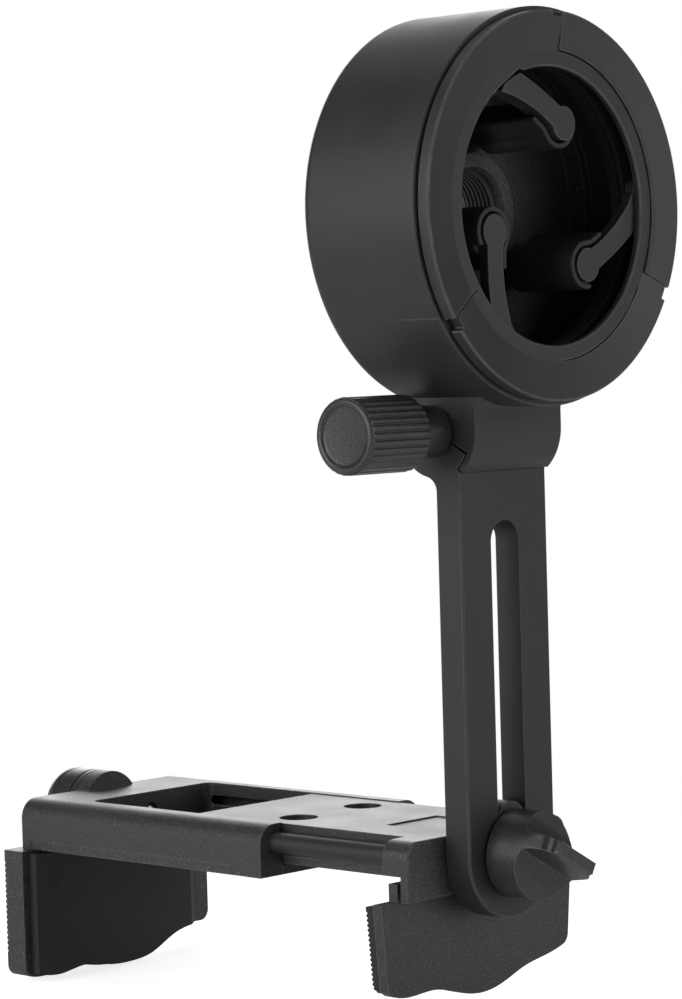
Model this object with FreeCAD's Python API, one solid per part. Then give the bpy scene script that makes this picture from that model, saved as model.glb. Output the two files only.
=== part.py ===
import FreeCAD, Part
import math
import os

# Adapter that holds a phone behind a telescope eyepiece, in millimetres.
# The origin is the centre of the drum's threaded rear mouth. +Z is up, -Y looks out of the
# eyepiece ring, X runs across the phone clamp.

V = FreeCAD.Vector
os.makedirs("parts", exist_ok=True)

# Clearances
RUN = 0.06            # radial, shaft in bore
SLIDE = 0.10          # radial, guided sliding faces
GAP = 0.35            # between separate moving pieces
SEAM = 0.12           # joint line between flush pieces

# Eyepiece drum
DRUM_R = 37.5
DRUM_DEPTH = 30.0
DRUM_BORE_R = 34.0
DRUM_LEDGE_R = 33.4
DRUM_STEP_R = 31.5
DRUM_STEP_AT = 18.0
BACK_PLATE_AT = 22.0
BACK_PLATE_T = 3.2
BOSS_R = 11.2
BOSS_AT = 19.4
THREAD_R = 7.9
THREAD_MOUTH = 0.7
BACK_EDGE_R = 2.2
STRIP_ANGLE = 211.3
STRIP_HALF = 1.35
STRIP_DEPTH = 0.27
STRIP_END = 17.5

# Turning front ring
PART_LINE_AT = 1.4
RIM_R = 36.6
RIM_RISE = 1.1
RIM_EDGE = 0.25
OPENING_R = 26.1
PLATE_T = 1.2
SPIGOT_IN_R = 31.2
SPIGOT_END = 4.9
BEAD_R = 33.35
BEAD_AT = (2.75, 3.45)
GROOVE_R = 29.05
GROOVE_HALF = 0.15
INSERT_RISE = 0.4
INSERT_SEAM = 0.25
SEAM_DEPTH = 0.7
PARTING_ANGLES = (85.8, -25.3, -145.4)
RIM_NOTCH_SPAN = 4.4
RIM_NOTCH_DEPTH = 1.1

# Gripping arms
PIVOT_R = 27.9
PIVOT_ANGLE = 121.5
KNUCKLE_R = 3.1
PIVOT_PIN_R = 1.4
HEAD_R = 3.2
HEAD_RADIUS = 16.0
HEAD_ANGLE = 77.0
ARM_BACK = 3.7
ARM_OPEN_DEG = 8.0
ARM_CLOSE_DEG = 22.0
TAIL_OFFSET = 3.3
DRIVE_PIN_R = 0.8
PAD_T = 1.25
PAD_CREVICE = 0.4
HOOK_R = 3.0
HOOK_T = 1.1
HOOK_AT = (-7.2, -0.9)
PAD_END = 18.4
POST_R = 2.2
CARRIER_AT = (4.1, 5.1)
CAM_AT = (5.5, 7.6)
RIM_IN_R = 26.45

# Tilting hinge under the drum
HINGE_Y = 20.5
HINGE_Z = -41.7
FOOT_R = 10.4
FOOT_END_DEG = 229.0
KNUCKLE_BIG_R = 8.9
KNUCKLE_SMALL_R = 3.85
LUG_HALF = 6.3
HINGE_BOLT_R = 2.6
NUT_R = 4.3
NUT_T = 3.0
TILT_KNOB_R = 7.3
TILT_KNOB_X = (-37.7, -20.9)
TILT_KNOB_FLUTES = 30

# Slotted arm
ARM_W = 25.2
ARM_FRONT = 14.3
ARM_T = 5.9
SLOT_W = 8.2
SLOT_TOP_Z = -59.1

# Phone clamp
TOP_Z = -119.0
BOLT_Z = -123.2
BODY_FRONT = ARM_FRONT + ARM_T + GAP
BLOCK_BACK = 26.9
FLANGE_BACK = 22.4
BLOCK_HALF = 23.4
BLOCK_BOTTOM_Z = -130.4
BODY_HALF = 16.9
BODY_BACK = 83.9
BODY_WALL = 2.2
BODY_BOTTOM_Z = -125.5
RAIL_R = 2.0
RAIL_X = 19.1
RAIL_Z = -122.5
ROD_FROM = 22.4
HOLE_SPACING = 18.8
HOLE_R = 3.9
HOLE_Y = 62.4
FRAME_FRONT = 59.6
FRAME_BACK = 130.5
FRAME_TOP_Z = -118.8
FRAME_BOTTOM_Z = -127.3
WINDOW_BACK = 115.5
RAIL_END_T = 3.9
COVER_T = 1.9
FIXED_JAW_HALF = 27.4
FIXED_JAW_AT = (23.3, 25.5, 27.6)
MOVING_JAW_HALF = 26.9
MOVING_JAW_AT = (123.2, 126.8, 132.4)
BACK_WALL_AT = 128.1
STUD_R = 3.0
STUD_END = 24.2
FIXED_EDGE = (-147.6, -148.9, -148.7, -150.3, -151.4, -150.4, -148.2, -147.0, -145.2)
MOVING_EDGE = (-155.4, -156.1, -155.3, -156.3, -156.6, -155.6, -152.6, -151.3, -151.5)
JAW_CORNER = 2.4
MOVING_PAD_ENDS = ((-25.1, 5.0, 1.4), (22.9, 4.5, 3.0))
WING_R = 8.8
WING_T = 3.6
WING_SHOULDER = 8.2
WING_TIP = 0.7
WING_ANGLE = -24.0
LOCK_R = 7.9
LOCK_END = 141.4
LOCK_GROOVE = 0.4
LOCK_CAP_T = 2.5
LOCK_SCREW_R = 2.0

FACE_Y = -DRUM_DEPTH
HALF_ARM = ARM_W / 2


def at(depth):
    """Depth behind the ring's face turned into the y position."""
    return FACE_Y + depth


def cyl_y(radius, start, end, x=0.0, z=0.0):
    return Part.makeCylinder(radius, end - start, V(x, at(start), z), V(0, 1, 0))


def cyl_x(radius, start, end, depth, z):
    return Part.makeCylinder(radius, end - start, V(start, at(depth), z), V(1, 0, 0))


def cyl_z(radius, start, end, x, depth):
    return Part.makeCylinder(radius, end - start, V(x, at(depth), start), V(0, 0, 1))


def box(x0, x1, d0, d1, z0, z1):
    return Part.makeBox(x1 - x0, d1 - d0, z1 - z0, V(x0, at(d0), z0))


def polar(radius, degrees):
    angle = math.radians(degrees)
    return radius * math.cos(angle), radius * math.sin(angle)


def turned(shape, degrees, x=0.0, z=0.0):
    """Copy turned anticlockwise as seen from the front."""
    copy = shape.copy()
    copy.rotate(V(x, 0, z), V(0, -1, 0), degrees)
    return copy


def revolved(points):
    """Solid of revolution about the ring's axis from (radius, depth) points."""
    corners = [V(r, at(d), 0) for r, d in points]
    face = Part.Face(Part.makePolygon(corners + corners[:1]))
    return face.revolve(V(0, 0, 0), V(0, 1, 0), 360)


def face_of(edges, direction):
    """Flat outline extruded along the given vector."""
    return Part.Face(Part.Wire(Part.__sortEdges__(edges))).extrude(direction)


def profile_xz(points, start, end):
    """Straight-sided outline in x and z extruded from one depth to another."""
    corners = [V(x, at(start), z) for x, z in points]
    return Part.Face(Part.makePolygon(corners + corners[:1])).extrude(V(0, end - start, 0))


def profile_yz(points, x0, x1):
    corners = [V(x0, at(d), z) for d, z in points]
    return Part.Face(Part.makePolygon(corners + corners[:1])).extrude(V(x1 - x0, 0, 0))


def sector(r0, r1, a0, a1, start, end, x=0.0, z=0.0):
    """Ring sector between two radii and two angles about an axis along y."""
    def point(radius, angle):
        dx, dz = polar(radius, angle)
        return V(x + dx, at(start), z + dz)
    mid = (a0 + a1) / 2
    outer = Part.Arc(point(r1, a0), point(r1, mid), point(r1, a1)).toShape()
    sides = [Part.makeLine(point(r0, a0), point(r1, a0)), Part.makeLine(point(r0, a1), point(r1, a1))]
    inner = Part.Arc(point(r0, a0), point(r0, mid), point(r0, a1)).toShape()
    return face_of([outer, inner] + sides, V(0, end - start, 0))


def hinge_sector(radius, a0, a1, x0, x1):
    """Pie slice about the tilt axis; angles go from +y towards +z."""
    def point(angle):
        dy, dz = polar(radius, angle)
        return V(x0, at(HINGE_Y) + dy, HINGE_Z + dz)
    centre = V(x0, at(HINGE_Y), HINGE_Z)
    arc = Part.Arc(point(a0), point((a0 + a1) / 2), point(a1)).toShape()
    edges = [Part.makeLine(centre, point(a0)), arc, Part.makeLine(point(a1), centre)]
    return face_of(edges, V(x1 - x0, 0, 0))


def pick(shape, test):
    return [edge for edge in shape.Edges if test(edge)]


def softened(shape, radius, test, bevel=False):
    """Fillet or bevel the edges that pass the test."""
    edges = pick(shape, test)
    if not edges:
        return shape
    return shape.makeChamfer(radius, edges) if bevel else shape.makeFillet(radius, edges)


def along(edge, axis, minimum=0.5):
    direction = edge.Vertexes[-1].Point - edge.Vertexes[0].Point
    length = direction.Length
    if length < minimum or abs(edge.Length - length) > 1e-4:
        return False
    return abs(abs(direction.dot(axis)) - length) < 1e-4


def save(shape, name):
    solid = shape.removeSplitter() if shape.ShapeType != "Solid" else shape
    if len(solid.Solids) == 1:
        solid = solid.Solids[0]
    solid.exportStep("parts/" + name + ".step")


# Drum with its threaded boss, rear ribs and hinge foot
def ring_housing():
    back = DRUM_DEPTH
    plate_back = BACK_PLATE_AT + BACK_PLATE_T
    shell = revolved([
        (DRUM_R - RIM_EDGE, PART_LINE_AT + GAP), (DRUM_R, PART_LINE_AT + GAP + RIM_EDGE),
        (DRUM_R, back), (DRUM_LEDGE_R, back),
        (DRUM_LEDGE_R, plate_back), (BOSS_R, plate_back), (BOSS_R, back),
        (THREAD_R, back), (THREAD_R, BOSS_AT + THREAD_MOUTH), (THREAD_R + THREAD_MOUTH, BOSS_AT),
        (BOSS_R, BOSS_AT), (BOSS_R, BACK_PLATE_AT), (DRUM_STEP_R, BACK_PLATE_AT),
        (DRUM_STEP_R, DRUM_STEP_AT), (DRUM_LEDGE_R, DRUM_STEP_AT), (DRUM_LEDGE_R, CAM_AT[1]),
        (DRUM_BORE_R, CAM_AT[1]), (DRUM_BORE_R, BEAD_AT[1]), (BEAD_R, BEAD_AT[1]),
        (BEAD_R, BEAD_AT[0]), (DRUM_BORE_R, BEAD_AT[0]), (DRUM_BORE_R, PART_LINE_AT + GAP),
    ])
    shell = softened(shell, BACK_EDGE_R, lambda e: abs(e.BoundBox.XMax - DRUM_R) < 0.01
                     and e.BoundBox.YMin > -0.01)
    for index in range(6):
        rib = box(BOSS_R - 0.4, DRUM_LEDGE_R + 0.4, plate_back - 0.2, back - 1.6, -0.8, 0.8)
        shell = shell.fuse(turned(rib, 30 + 60 * index))
    strip = profile_yz([(PART_LINE_AT, DRUM_R - STRIP_DEPTH), (STRIP_END, DRUM_R), (STRIP_END, DRUM_R + 1),
                        (PART_LINE_AT, DRUM_R + 1)], -STRIP_HALF, STRIP_HALF)
    shell = shell.cut(turned(strip, STRIP_ANGLE - 90))
    return shell.fuse(hinge_foot()).removeSplitter()


def hinge_foot():
    front = HINGE_Y - FOOT_R
    block = box(-HALF_ARM, HALF_ARM, front, HINGE_Y + 8.0, HINGE_Z, -33.0)
    shell = hinge_sector(FOOT_R, 120, FOOT_END_DEG, -HALF_ARM, HALF_ARM)
    foot = block.fuse(shell)
    sweep = hinge_sector(KNUCKLE_BIG_R + GAP, 206, 400, -HALF_ARM - 1, HALF_ARM + 1)
    hub = cyl_x(KNUCKLE_SMALL_R + GAP, -HALF_ARM - 1, HALF_ARM + 1, HINGE_Y, HINGE_Z)
    room = sweep.fuse(hub)
    middle = box(-LUG_HALF, LUG_HALF, 0, 45, -60, -30)
    foot = foot.cut(room.cut(middle))
    lug = cyl_x(KNUCKLE_BIG_R, -LUG_HALF, LUG_HALF, HINGE_Y, HINGE_Z)
    foot = foot.fuse(lug)
    foot = foot.cut(cyl_y(DRUM_R - 1.0, -1, 60))
    fillet_r = 3.0
    rise = -math.sqrt(DRUM_R ** 2 - HALF_ARM ** 2)
    web = box(-HALF_ARM, HALF_ARM, front - fillet_r, front, rise - fillet_r, rise + 1.5)
    web = web.cut(cyl_x(fillet_r, -HALF_ARM - 1, HALF_ARM + 1, front - fillet_r, rise - fillet_r))
    web = web.cut(cyl_y(DRUM_R - 0.6, -1, 60))
    foot = foot.fuse(web)
    foot = foot.cut(cyl_x(HINGE_BOLT_R + RUN, -20, 20, HINGE_Y, HINGE_Z))
    pad = box(-HALF_ARM - 0.5, -HALF_ARM + 0.5, 13.4, 15.6, HINGE_Z + 2.3, HINGE_Z + 3.7)
    return foot.fuse(pad).removeSplitter()


# Turning ring: its face rises slightly to the rim, a snap spigot holds it in the drum
def front_ring():
    snap_out = BEAD_R - SLIDE
    spigot_out = DRUM_BORE_R - SLIDE
    body = revolved([
        (OPENING_R + RIM_EDGE, 0), (GROOVE_R, 0), (RIM_R - RIM_EDGE, -RIM_RISE),
        (RIM_R, RIM_EDGE - RIM_RISE), (RIM_R, PART_LINE_AT), (spigot_out, PART_LINE_AT),
        (spigot_out, BEAD_AT[0] - GAP), (snap_out, BEAD_AT[0] - GAP),
        (snap_out, BEAD_AT[1] + GAP), (spigot_out, BEAD_AT[1] + GAP), (spigot_out, SPIGOT_END),
        (SPIGOT_IN_R, SPIGOT_END), (SPIGOT_IN_R, PLATE_T), (OPENING_R, PLATE_T),
        (OPENING_R, RIM_EDGE),
    ])
    pivot_x, pivot_z = polar(PIVOT_R, PIVOT_ANGLE)
    reach = blade(-1, PLATE_T + 1, SLIDE).common(cyl_y(OPENING_R, -2, PLATE_T + 2))
    for step in range(1, 5):
        body = body.cut(turned(reach, ARM_OPEN_DEG * step / 4, pivot_x, pivot_z))
    top, right, left = PARTING_ANGLES
    body = body.cut(sector(GROOVE_R, RIM_R + 1, right, top, -3, SEAM_DEPTH))
    body = body.cut(sector(GROOVE_R - GROOVE_HALF, GROOVE_R + GROOVE_HALF, right - 62, right - 6,
                           -1, SEAM_DEPTH))
    slit = box(OPENING_R + 1.2, RIM_R + 1, -3, SEAM_DEPTH, -GROOVE_HALF, GROOVE_HALF)
    body = body.cut(turned(slit, left))
    for angle, side in ((top, 1), (right, -1), (left, 1)):
        low = min(angle, angle + side * RIM_NOTCH_SPAN)
        notch = sector(RIM_R - RIM_NOTCH_DEPTH, RIM_R + 1, low, low + RIM_NOTCH_SPAN, -3,
                       PART_LINE_AT + 0.1)
        body = body.cut(notch)
    return body.removeSplitter()


def face_insert():
    """Raised sector set into the ring's face between the top and lower right partings."""
    top, right, left = PARTING_ANGLES
    margin = math.degrees(SEAM / GROOVE_R)
    slab = sector(GROOVE_R + INSERT_SEAM, RIM_R + 1, right + margin, top - margin, -3, SEAM_DEPTH)
    outline = revolved([
        (GROOVE_R - 1, -INSERT_RISE), (GROOVE_R + 1, -INSERT_RISE), (RIM_R - RIM_EDGE, -RIM_RISE),
        (RIM_R, RIM_EDGE - RIM_RISE), (RIM_R, SEAM_DEPTH), (GROOVE_R - 1, SEAM_DEPTH),
    ])
    return slab.common(outline)


def blade(start, end, grow=0.0):
    """Curved gripping arm between its knuckle and its head, top arm of the three."""
    pivot_x, pivot_z = polar(PIVOT_R, PIVOT_ANGLE)
    head_x, head_z = polar(HEAD_RADIUS, HEAD_ANGLE)
    upper = [(pivot_x + 1.2, pivot_z + 2.4), (-3.9, 22.3), (head_x - 0.9, head_z + 3.0)]
    lower = [(pivot_x - 2.0, pivot_z - 2.6), (-6.3, 18.7), (head_x - 2.5, head_z - 1.2)]
    top_arc = Part.Arc(*[V(x, at(start), z) for x, z in upper]).toShape()
    low_arc = Part.Arc(*[V(x, at(start), z) for x, z in lower]).toShape()
    ends = [Part.makeLine(top_arc.Vertexes[i].Point, low_arc.Vertexes[i].Point) for i in (0, 1)]
    wire = Part.Wire(Part.__sortEdges__([top_arc, low_arc] + ends))
    if grow:
        wire = wire.makeOffset2D(grow)
    body = Part.Face(wire).extrude(V(0, end - start, 0))
    return body.fuse(cyl_y(HEAD_R + grow, start, end, head_x, head_z))


def flush_cap():
    """Front layer of the top arm: inside the opening wherever the arm swings inwards."""
    pivot_x, pivot_z = polar(PIVOT_R, PIVOT_ANGLE)
    cap = blade(0.0, PLATE_T + GAP + 0.1)
    disc = cyl_y(OPENING_R - SLIDE, -1, PLATE_T + 2)
    for step in range(4):
        cap = cap.common(turned(disc, ARM_CLOSE_DEG * step / 3, pivot_x, pivot_z))
    return max(cap.Solids, key=lambda solid: solid.Volume)


def jaw_arm(index):
    """Pivots under the ring's plate; only the top arm comes flush with the face."""
    pivot_x, pivot_z = polar(PIVOT_R, PIVOT_ANGLE)
    head_x, head_z = polar(HEAD_RADIUS, HEAD_ANGLE)
    under = PLATE_T + GAP
    arm = blade(under, ARM_BACK)
    arm = arm.fuse(cyl_y(KNUCKLE_R, under, ARM_BACK, pivot_x, pivot_z))
    tail_x, tail_z = tail_point()
    arm = arm.fuse(cyl_y(DRIVE_PIN_R + 0.9, under, ARM_BACK, tail_x, tail_z))
    bridge = box(pivot_x - TAIL_OFFSET, pivot_x, under, ARM_BACK, pivot_z - 1.7, pivot_z + 1.7)
    arm = arm.fuse(turned(bridge, PIVOT_ANGLE + 90 - 180, pivot_x, pivot_z))
    arm = arm.fuse(cyl_y(DRIVE_PIN_R, ARM_BACK - 0.5, CAM_AT[1] - 0.3, tail_x, tail_z))
    arm = arm.fuse(cyl_y(POST_R, ARM_BACK - 0.5, PAD_END - 1.2, head_x, head_z))
    if index == 0:
        arm = arm.fuse(flush_cap())
    arm = arm.cut(cyl_y(PIVOT_PIN_R + RUN, under - 0.5, ARM_BACK + 1, pivot_x, pivot_z))
    return turned(arm.removeSplitter(), -120 * index)


def tail_point():
    pivot_x, pivot_z = polar(PIVOT_R, PIVOT_ANGLE)
    dx, dz = polar(TAIL_OFFSET, PIVOT_ANGLE + 90)
    return pivot_x + dx, pivot_z + dz


def jaw_pad(index):
    """Rubber sleeve over the head's post; its lip curls along the arm on the gripping side."""
    head_x, head_z = polar(HEAD_RADIUS, HEAD_ANGLE)
    start = PLATE_T if index == 0 else PLATE_T + 2 * GAP
    pad = cyl_y(HEAD_R + PAD_T, start, PAD_END, head_x, head_z)
    curl_x, curl_z = head_x + HOOK_AT[0], head_z + HOOK_AT[1]
    pad = pad.fuse(sector(HOOK_R, HOOK_R + HOOK_T, -25, 92, start, PAD_END, curl_x, curl_z))
    tip_x, tip_z = polar(HOOK_R + HOOK_T / 2, 92)
    pad = pad.fuse(cyl_y(HOOK_T / 2, start, PAD_END, curl_x + tip_x, curl_z + tip_z))
    fill = [(head_x - 6.4, head_z + 2.6), (head_x - 4.4, head_z + 0.9), (head_x - 3.0, head_z - 1.6),
            (head_x, head_z), (head_x - 1.6, head_z + 3.2)]
    pad = pad.fuse(profile_xz(fill, ARM_BACK, PAD_END))
    away = profile_xz([(head_x - 1.0, head_z + 0.9), (head_x + 9, head_z - 2.2),
                       (head_x + 9, head_z + 9), (head_x - 1.0, head_z + 9)], start - 1, ARM_BACK)
    pad = pad.cut(away)
    pad = pad.cut(blade(start - 1, ARM_BACK, PAD_CREVICE))
    pad = pad.cut(cyl_y(POST_R, ARM_BACK - 1, PAD_END - 1.2, head_x, head_z)).removeSplitter()
    biggest = max(pad.Solids, key=lambda solid: solid.Volume)
    return turned(biggest, -120 * index)


def carrier_plate():
    """Annulus behind the arms with the three pivot pins and slots for the drive pins."""
    plate = revolved([(RIM_IN_R, CARRIER_AT[0]), (SPIGOT_IN_R, CARRIER_AT[0]),
                      (SPIGOT_IN_R, CARRIER_AT[1]), (RIM_IN_R, CARRIER_AT[1])])
    pivot_x, pivot_z = polar(PIVOT_R, PIVOT_ANGLE)
    wide = DRIVE_PIN_R + SLIDE
    for index in range(3):
        pin = cyl_y(PIVOT_PIN_R, PLATE_T, CARRIER_AT[0] + 0.5, pivot_x, pivot_z)
        plate = plate.fuse(turned(pin, -120 * index))
        base = PIVOT_ANGLE + 90
        slot = sector(TAIL_OFFSET - wide, TAIL_OFFSET + wide, base - ARM_CLOSE_DEG - 1,
                      base + ARM_OPEN_DEG + 1, 3.5, 6.0, pivot_x, pivot_z)
        for swing in (-ARM_CLOSE_DEG - 1, ARM_OPEN_DEG + 1):
            dx, dz = polar(TAIL_OFFSET, base + swing)
            slot = slot.fuse(cyl_y(wide, 3.5, 6.0, pivot_x + dx, pivot_z + dz))
        plate = plate.cut(turned(slot, -120 * index))
    return plate.removeSplitter()


def cam_path(turn):
    """Where the top arm's drive pin stands once the ring has turned by so many degrees."""
    pivot_x, pivot_z = polar(PIVOT_R, PIVOT_ANGLE)
    dx, dz = polar(TAIL_OFFSET, PIVOT_ANGLE + 90 + turn)
    point = V(pivot_x + dx, 0, pivot_z + dz)
    angle = math.radians(turn)
    return (point.x * math.cos(angle) - point.z * math.sin(angle),
            point.x * math.sin(angle) + point.z * math.cos(angle))


def cam_plate():
    """Fixed annulus whose three spiral slots swing the arms as the ring turns."""
    seat = DRUM_BORE_R - 0.02
    plate = revolved([(RIM_IN_R, CAM_AT[0]), (seat, CAM_AT[0]), (seat, CAM_AT[1]),
                      (RIM_IN_R, CAM_AT[1])])
    wide = DRIVE_PIN_R + SLIDE
    turns = [-ARM_CLOSE_DEG - 1 + step * (ARM_OPEN_DEG + ARM_CLOSE_DEG + 2) / 8 for step in range(9)]
    centres = [cam_path(turn) for turn in turns]
    sides = []
    for sign in (1, -1):
        edge_points = []
        for turn, (x, z) in zip(turns, centres):
            ahead, behind = cam_path(turn + 0.5), cam_path(turn - 0.5)
            tx, tz = ahead[0] - behind[0], ahead[1] - behind[1]
            size = math.hypot(tx, tz)
            edge_points.append(V(x - sign * wide * tz / size, at(5), z + sign * wide * tx / size))
        curve = Part.BSplineCurve()
        curve.interpolate(edge_points)
        sides.append(curve.toShape())
    caps = [Part.makeLine(sides[0].Vertexes[i].Point, sides[1].Vertexes[i].Point) for i in (0, 1)]
    slot = face_of(sides + caps, V(0, 4, 0))
    for x, z in (centres[0], centres[-1]):
        slot = slot.fuse(cyl_y(wide, 5, 9, x, z))
    for index in range(3):
        plate = plate.cut(turned(slot, -120 * index))
    return plate.removeSplitter()


# Slotted arm with the two hinge cheeks
def slotted_arm():
    back = ARM_FRONT + ARM_T
    plate = box(-HALF_ARM, HALF_ARM, ARM_FRONT, back, BOLT_Z, HINGE_Z - 4)
    plate = plate.fuse(cyl_y(HALF_ARM, ARM_FRONT, back, 0, BOLT_Z)).removeSplitter()
    plate = softened(plate, 0.3, lambda e: abs(e.BoundBox.YMax - at(ARM_FRONT)) < 0.01
                     and e.BoundBox.ZMin < HINGE_Z - 10, bevel=True)
    cheeks = hinge_sector(KNUCKLE_BIG_R, 210, 308, -HALF_ARM, HALF_ARM)
    cheeks = cheeks.fuse(cyl_x(KNUCKLE_SMALL_R, -HALF_ARM, HALF_ARM, HINGE_Y, HINGE_Z))
    heel_r = 3.0
    drop = math.sqrt((KNUCKLE_BIG_R + heel_r) ** 2 - (back + heel_r - HINGE_Y) ** 2)
    share = KNUCKLE_BIG_R / (KNUCKLE_BIG_R + heel_r)
    heel = box(-HALF_ARM, HALF_ARM, back - 0.5, HINGE_Y + share * (back + heel_r - HINGE_Y),
               HINGE_Z - drop, HINGE_Z - 7.0)
    heel = heel.cut(cyl_x(heel_r, -HALF_ARM - 1, HALF_ARM + 1, back + heel_r, HINGE_Z - drop))
    arm = plate.fuse(cheeks).fuse(heel)
    shroud = hinge_sector(FOOT_R + GAP + 3, 60, FOOT_END_DEG + 3, -HALF_ARM - 1, HALF_ARM + 1)
    shroud = shroud.cut(cyl_x(KNUCKLE_BIG_R, -HALF_ARM - 2, HALF_ARM + 2, HINGE_Y, HINGE_Z))
    arm = arm.cut(shroud)
    upper = hinge_sector(30, -30, 208, -HALF_ARM - 1, HALF_ARM + 1)
    upper = upper.cut(cyl_x(KNUCKLE_SMALL_R, -HALF_ARM - 2, HALF_ARM + 2, HINGE_Y, HINGE_Z))
    arm = arm.cut(upper)
    side = LUG_HALF + GAP
    arm = arm.cut(cyl_x(KNUCKLE_BIG_R + GAP, -side, side, HINGE_Y, HINGE_Z))
    arm = arm.cut(cyl_x(HINGE_BOLT_R + RUN, -20, 20, HINGE_Y, HINGE_Z))
    half = SLOT_W / 2
    slot = box(-half, half, ARM_FRONT - 1, back + 1, BOLT_Z, SLOT_TOP_Z - half)
    for z in (BOLT_Z, SLOT_TOP_Z - half):
        slot = slot.fuse(cyl_y(half, ARM_FRONT - 1, back + 1, 0, z))
    return arm.cut(slot).removeSplitter()


def tilt_screw():
    """Hinge bolt: runs from the knob through both cheeks to the nut."""
    return cyl_x(HINGE_BOLT_R, TILT_KNOB_X[0] + 5.0, HALF_ARM + NUT_T - 1.0, HINGE_Y, HINGE_Z)


def tilt_knob():
    start, end = TILT_KNOB_X
    knob = cyl_x(TILT_KNOB_R, start, end, HINGE_Y, HINGE_Z)
    groove = profile_yz([(HINGE_Y - 0.42, HINGE_Z + TILT_KNOB_R + 0.1), (HINGE_Y, HINGE_Z + TILT_KNOB_R - 0.5),
                         (HINGE_Y + 0.42, HINGE_Z + TILT_KNOB_R + 0.1)], start + 0.8, end + 1)
    cutters = []
    for index in range(TILT_KNOB_FLUTES):
        cutter = groove.copy()
        cutter.rotate(V(0, at(HINGE_Y), HINGE_Z), V(1, 0, 0), 360.0 * index / TILT_KNOB_FLUTES)
        cutters.append(cutter)
    knob = knob.cut(Part.makeCompound(cutters))
    knob = knob.cut(cyl_x(TILT_KNOB_R - 1.5, start - 1, start + 0.6, HINGE_Y, HINGE_Z))
    collar = cyl_x(5.0, end - 0.5, -HALF_ARM - GAP, HINGE_Y, HINGE_Z)
    knob = knob.fuse(collar)
    core = cyl_x(HINGE_BOLT_R, start + 5.0, 0, HINGE_Y, HINGE_Z)
    return knob.cut(core).removeSplitter()


def tilt_nut():
    """Cap nut on the right cheek, at the far end of the hinge bolt."""
    corners = [polar(NUT_R, 60 * step + 30) for step in range(6)]
    nut = profile_yz([(HINGE_Y + dy, HINGE_Z + dz) for dy, dz in corners], HALF_ARM, HALF_ARM + NUT_T)
    return nut.cut(cyl_x(HINGE_BOLT_R + RUN, HALF_ARM - 1, HALF_ARM + NUT_T - 0.7, HINGE_Y, HINGE_Z))


# Wing bolt and the slider that guides the slotted arm
def wing_knob():
    """Round skirt that narrows to a wing, with a scoop on each side for finger and thumb."""
    root = ARM_FRONT - GAP
    shoulder, tip = WING_SHOULDER, WING_TIP
    knob = cyl_y(WING_R, shoulder, root, 0, BOLT_Z)
    knob = softened(knob, 0.5, lambda e: abs(e.BoundBox.YMax - at(root)) < 0.01
                    and e.BoundBox.YLength < 0.01, bevel=True)
    wing = cyl_y(WING_R, tip, shoulder, 0, BOLT_Z)
    wing = softened(wing, 0.4, lambda e: abs(e.BoundBox.YMin - at(tip)) < 0.01
                    and e.BoundBox.YLength < 0.01, bevel=True)
    knob = knob.fuse(wing).removeSplitter()
    rise = shoulder - tip
    half = WING_T / 2
    scoop_r = ((WING_R - half) ** 2 + rise ** 2) / (2 * (WING_R - half))
    for side in (1, -1):
        scoop = Part.makeCylinder(scoop_r, 60, V(-30, at(tip), BOLT_Z + side * (half + scoop_r)),
                                  V(1, 0, 0))
        knob = knob.cut(scoop)
    knob = turned(knob, WING_ANGLE, 0, BOLT_Z)
    return knob.cut(cyl_y(STUD_R, 4.0, root + 1, 0, BOLT_Z)).removeSplitter()


def wing_stud():
    return cyl_y(STUD_R, 4.0, STUD_END, 0, BOLT_Z)


def slot_slider():
    """Bush on the stud whose flats follow the arm's slot."""
    half = SLOT_W / 2 - SLIDE
    length = 6.0
    start, end = ARM_FRONT + 0.2, ARM_FRONT + ARM_T + 0.1
    bush = box(-half, half, start, end, BOLT_Z, BOLT_Z + length)
    bush = bush.fuse(cyl_y(half, start, end, 0, BOLT_Z))
    bush = bush.fuse(cyl_y(half, start, end, 0, BOLT_Z + length))
    return bush.cut(cyl_y(STUD_R + RUN, start - 1, end + 1, 0, BOLT_Z)).removeSplitter()


# Fixed half of the clamp
def rounded_bar(half, d0, d1, z_low, z_top, corner):
    bar = box(-half, half, d0, d1, z_low, z_top)
    return softened(bar, corner, lambda e: along(e, V(0, 1, 0)) and e.BoundBox.ZMin > z_top - 0.01)


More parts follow.
